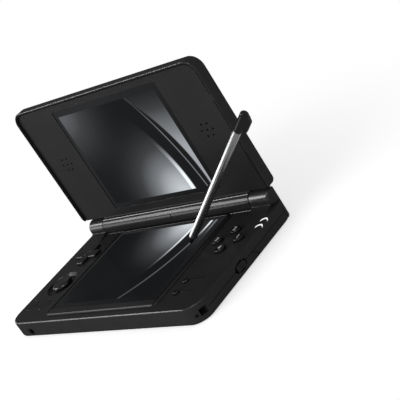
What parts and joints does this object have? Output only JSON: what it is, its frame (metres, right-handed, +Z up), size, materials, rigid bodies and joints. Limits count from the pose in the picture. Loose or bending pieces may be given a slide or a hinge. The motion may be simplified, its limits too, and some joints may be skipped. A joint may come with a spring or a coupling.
{
  "type": "clamshell handheld game console",
  "caption": "Clamshell handheld game console with two screens, a D-pad, an analog stick, face and shoulder buttons, and a metal stylus on its touch screen.",
  "frame": {"origin": "middle of the underside of the base", "axes": "+Z up, +X to the user's right along the width, +Y from the front edge to the hinge"},
  "size_m": [0.19, 0.0922, 0.1011],
  "materials": {
    "shell_plastic": "satin",
    "control_plastic": "satin",
    "screen_glass": "gloss",
    "lens_white": "gloss",
    "socket_plastic": "matte",
    "board_green": "satin",
    "battery_wrap": "satin",
    "chip_black": "matte",
    "pad_rubber": "matte",
    "steel": "brushed",
    "cable_film": "satin",
    "stylus_metal": "polished"
  },
  "bodies": {
    "base": {"base_top_shell": "shell_plastic", "base_bottom_shell": "shell_plastic", "touch_glass": "screen_glass", "lower_display": "steel", "shield_plate": "steel", "main_board": "board_green", "board_chips": "chip_black", "battery": "battery_wrap", "left_rubber_pad": "pad_rubber", "right_rubber_pad": "pad_rubber", "led_lens_front": "lens_white", "led_lens_rear": "lens_white", "headphone_socket": "socket_plastic", "power_socket": "socket_plastic", "card_connector": "socket_plastic", "stick_housing": "socket_plastic", "bottom_screws": "steel", "hinge_pin_left": "steel", "hinge_pin_right": "steel", "volume_switch": "steel", "slide_switch": "steel"},
    "lid": {"lid_back_cover": "shell_plastic", "lid_inner_panel": "shell_plastic", "hinge_barrel": "shell_plastic", "upper_glass": "screen_glass", "upper_display": "steel", "left_speaker": "socket_plastic", "right_speaker": "socket_plastic", "microphone": "steel", "display_cable": "cable_film", "lid_magnet": "steel"},
    "stylus": {"stylus_barrel": "stylus_metal", "stylus_tip": "control_plastic", "stylus_cap": "control_plastic"},
    "face_button_front": {"face_button_front": "control_plastic"},
    "face_button_right": {"face_button_right": "control_plastic"},
    "face_button_rear": {"face_button_rear": "control_plastic"},
    "face_button_left": {"face_button_left": "control_plastic"},
    "menu_button_front": {"menu_button_front": "control_plastic"},
    "menu_button_rear": {"menu_button_rear": "control_plastic"},
    "round_button_outer": {"round_button_outer": "control_plastic"},
    "round_button_inner": {"round_button_inner": "control_plastic"},
    "d_pad_pivot": {"d_pad_pivot": "steel"},
    "d_pad": {"d_pad": "control_plastic"},
    "left_shoulder_button": {"left_shoulder_button": "control_plastic"},
    "right_shoulder_button": {"right_shoulder_button": "control_plastic"},
    "side_slider": {"side_slider": "control_plastic"},
    "volume_rocker": {"volume_rocker": "control_plastic"},
    "stick_carriage": {"stick_carriage": "socket_plastic"},
    "stick_cap": {"stick_cap": "control_plastic"}
  },
  "joints": [
    {"name": "lid_hinge", "type": "hinge", "parent": "base", "child": "lid", "pos_m": [0, 0.0405, 0.014], "axis": [-1, 0, 0], "range_deg": [-90.5, 64.5]},
    {"name": "stylus_swing", "type": "hinge", "parent": "base", "child": "stylus", "pos_m": [0.0343, 0.0103, 0.1616], "axis": [-0.3419, -0.9397, 0], "range_deg": [-33, 46]},
    {"name": "face_button_front_press", "type": "slide", "parent": "base", "child": "face_button_front", "axis": [0, 0, 1], "range_m": [-0.0007, 0], "stiffness_N_per_m": 300},
    {"name": "face_button_right_press", "type": "slide", "parent": "base", "child": "face_button_right", "axis": [0, 0, 1], "range_m": [-0.0007, 0], "stiffness_N_per_m": 300},
    {"name": "face_button_rear_press", "type": "slide", "parent": "base", "child": "face_button_rear", "axis": [0, 0, 1], "range_m": [-0.0007, 0], "stiffness_N_per_m": 300},
    {"name": "face_button_left_press", "type": "slide", "parent": "base", "child": "face_button_left", "axis": [0, 0, 1], "range_m": [-0.0007, 0], "stiffness_N_per_m": 300},
    {"name": "menu_button_front_press", "type": "slide", "parent": "base", "child": "menu_button_front", "axis": [0, 0, 1], "range_m": [-0.0005, 0], "stiffness_N_per_m": 300},
    {"name": "menu_button_rear_press", "type": "slide", "parent": "base", "child": "menu_button_rear", "axis": [0, 0, 1], "range_m": [-0.0005, 0], "stiffness_N_per_m": 300},
    {"name": "round_button_outer_press", "type": "slide", "parent": "base", "child": "round_button_outer", "axis": [0, 0, 1], "range_m": [-0.0005, 0], "stiffness_N_per_m": 300},
    {"name": "round_button_inner_press", "type": "slide", "parent": "base", "child": "round_button_inner", "axis": [0, 0, 1], "range_m": [-0.0005, 0], "stiffness_N_per_m": 300},
    {"name": "d_pad_tilt_x", "type": "hinge", "parent": "base", "child": "d_pad_pivot", "pos_m": [-0.0618, 0.0149, 0.0076], "axis": [1, 0, 0], "range_deg": [-1.8, 1.8], "stiffness_Nm_per_rad": 0.05},
    {"name": "d_pad_tilt_y", "type": "hinge", "parent": "d_pad_pivot", "child": "d_pad", "pos_m": [-0.0618, 0.0149, 0.0076], "axis": [0, 1, 0], "range_deg": [-1.8, 1.8], "stiffness_Nm_per_rad": 0.05},
    {"name": "left_shoulder_button_press", "type": "hinge", "parent": "base", "child": "left_shoulder_button", "pos_m": [-0.0561, 0.0433, 0.004], "axis": [0, 0, -1], "range_deg": [-1.5, 0], "stiffness_Nm_per_rad": 0.2},
    {"name": "right_shoulder_button_press", "type": "hinge", "parent": "base", "child": "right_shoulder_button", "pos_m": [0.0561, 0.0433, 0.004], "axis": [0, 0, 1], "range_deg": [-1.5, 0], "stiffness_Nm_per_rad": 0.2},
    {"name": "side_slider_slide", "type": "slide", "parent": "base", "child": "side_slider", "axis": [0, 1, 0], "range_m": [-0.001, 0.001]},
    {"name": "volume_rocker_tilt", "type": "hinge", "parent": "base", "child": "volume_rocker", "pos_m": [-0.079, -0.0027, 0.0052], "axis": [0, 0, 1], "range_deg": [-1.5, 1.5], "stiffness_Nm_per_rad": 0.1},
    {"name": "stick_slide_x", "type": "slide", "parent": "base", "child": "stick_carriage", "axis": [1, 0, 0], "range_m": [-0.0018, 0.0018], "stiffness_N_per_m": 120},
    {"name": "stick_slide_y", "type": "slide", "parent": "stick_carriage", "child": "stick_cap", "axis": [0, 1, 0], "range_m": [-0.0018, 0.0018], "stiffness_N_per_m": 120}
  ],
  "couplings": [
    {"joint": "stylus_swing", "follows": "lid_hinge", "ratio": -0.5}
  ]
}
